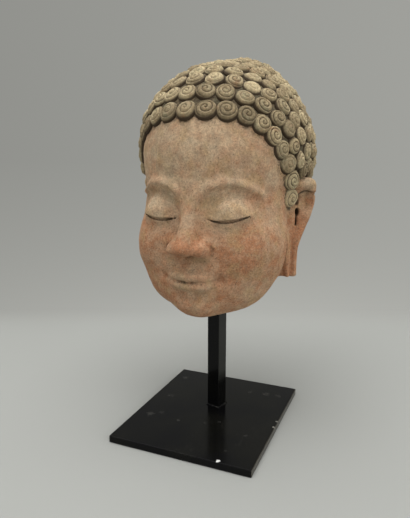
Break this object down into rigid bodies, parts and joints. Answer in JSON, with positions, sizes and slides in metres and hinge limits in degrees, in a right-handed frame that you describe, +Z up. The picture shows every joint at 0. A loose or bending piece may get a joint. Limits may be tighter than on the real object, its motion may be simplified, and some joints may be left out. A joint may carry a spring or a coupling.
{
  "type": "clay buddha head",
  "caption": "Life-size fired clay Buddha head with snail curls and long-lobed ears, broken off above the neck, on a square black steel post and a flat rectangular foot.",
  "frame": {"origin": "middle of the base plate's underside, on the surface the object stands on", "axes": "+Z up along the post, -Y the way the face looks, +X towards the head's own left ear"},
  "size_m": [0.166, 0.2071, 0.3304],
  "materials": {
    "clay": "dry, sandy fired clay, dull",
    "steel": "black, satin"
  },
  "bodies": {
    "root": {"clay_head": "clay", "post": "steel", "base_plate": "steel"}
  },
  "joints": []
}
